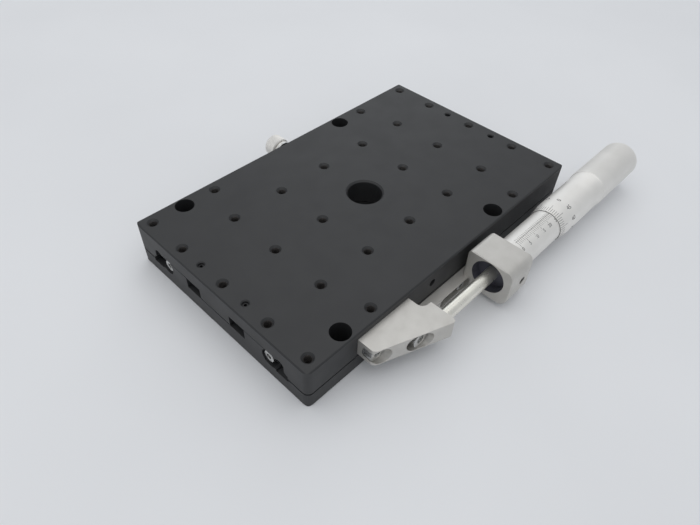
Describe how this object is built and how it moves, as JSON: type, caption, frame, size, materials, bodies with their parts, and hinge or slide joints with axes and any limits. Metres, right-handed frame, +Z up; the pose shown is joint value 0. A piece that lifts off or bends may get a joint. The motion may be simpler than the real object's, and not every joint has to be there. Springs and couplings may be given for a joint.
{
  "type": "linear translation stage",
  "caption": "Crossed-roller linear translation stage: drilled table on a flat base, driven along its length by a side-mounted micrometer against springs, with a travel lock.",
  "frame": {"origin": "centre of the base's bottom face, where the axis of the base's central aperture leaves it", "axes": "+X along the travel, towards the micrometer's thimble; -Y the micrometer side, +Y the lock side; +Z up, out of the table"},
  "size_m": [0.1958, 0.1335, 0.0212],
  "materials": {
    "black_anodised": "matt black anodised",
    "clear_anodised": "satin, clear anodised",
    "ground_steel": "ground",
    "dark_screw": "black oxide",
    "bright_screw": "polished",
    "spring_wire": "drawn wire",
    "cage_brass": "stamped",
    "nut_brass": "turned",
    "roller_steel": "polished",
    "hard_steel": "hardened and ground",
    "satin_chrome": "satin chrome"
  },
  "bodies": {
    "base": {"base_plate": "black_anodised", "base_rail_front": "ground_steel", "base_rail_back": "ground_steel", "base_rail_screws": "dark_screw", "base_rail_end_screws": "bright_screw", "base_spring_posts": "bright_screw", "spring_front": "spring_wire", "spring_back": "spring_wire", "travel_stop_pin": "dark_screw", "micrometer_bracket": "clear_anodised", "micrometer_bracket_screws": "bright_screw", "sleeve_clamp_screw": "dark_screw", "micrometer_sleeve": "satin_chrome", "spindle_key": "bright_screw", "lead_screw_nut": "nut_brass", "lock_plate": "black_anodised", "lock_plate_screws": "bright_screw"},
    "table": {"table_plate": "black_anodised", "table_rail_front": "ground_steel", "table_rail_back": "ground_steel", "table_rail_screws": "dark_screw", "table_rail_end_screws": "dark_screw", "table_spring_posts": "dark_screw", "preload_screws": "dark_screw", "anvil_bracket": "clear_anodised", "anvil_bracket_screws": "bright_screw", "anvil_pad": "hard_steel"},
    "cage_front": {"cage_front": "cage_brass", "rollers_front": "roller_steel"},
    "cage_back": {"cage_back": "cage_brass", "rollers_back": "roller_steel"},
    "spindle": {"spindle": "hard_steel"},
    "thimble": {"lead_screw": "hard_steel", "thimble": "satin_chrome", "thimble_cap": "satin_chrome"},
    "lock_washer": {"lock_washer": "bright_screw"},
    "lock_knob": {"lock_stud": "bright_screw", "lock_knob": "clear_anodised"}
  },
  "joints": [
    {"name": "table_slide", "type": "slide", "parent": "base", "child": "table", "axis": [1, 0, 0], "range_m": [-0.025, 0.025], "deforming": ["spring_front", "spring_back"]},
    {"name": "spindle_feed", "type": "slide", "parent": "base", "child": "spindle", "axis": [1, 0, 0], "range_m": [-0.025, 0.025]},
    {"name": "thimble_turn", "type": "hinge", "parent": "spindle", "child": "thimble", "pos_m": [0, -0.0625, 0.0125], "axis": [1, 0, 0], "range_deg": [-18000.5, 18000.5]},
    {"name": "cage_front_slide", "type": "slide", "parent": "base", "child": "cage_front", "axis": [1, 0, 0], "range_m": [-0.0125, 0.0125]},
    {"name": "cage_back_slide", "type": "slide", "parent": "base", "child": "cage_back", "axis": [1, 0, 0], "range_m": [-0.0125, 0.0125]},
    {"name": "lock_feed", "type": "slide", "parent": "table", "child": "lock_washer", "axis": [0, -1, 0], "range_m": [-0.00035, 0.00028]},
    {"name": "lock_turn", "type": "hinge", "parent": "lock_washer", "child": "lock_knob", "pos_m": [0, 0.054, 0.014], "axis": [0, -1, 0], "range_deg": [-180.5, 144.5]}
  ],
  "couplings": [
    {"joint": "spindle_feed", "follows": "table_slide", "ratio": 1},
    {"joint": "thimble_turn", "follows": "table_slide", "rad_per_m": 12566},
    {"joint": "cage_front_slide", "follows": "table_slide", "ratio": 0.5},
    {"joint": "cage_back_slide", "follows": "table_slide", "ratio": 0.5},
    {"joint": "lock_turn", "follows": "lock_feed", "rad_per_m": 8976}
  ]
}
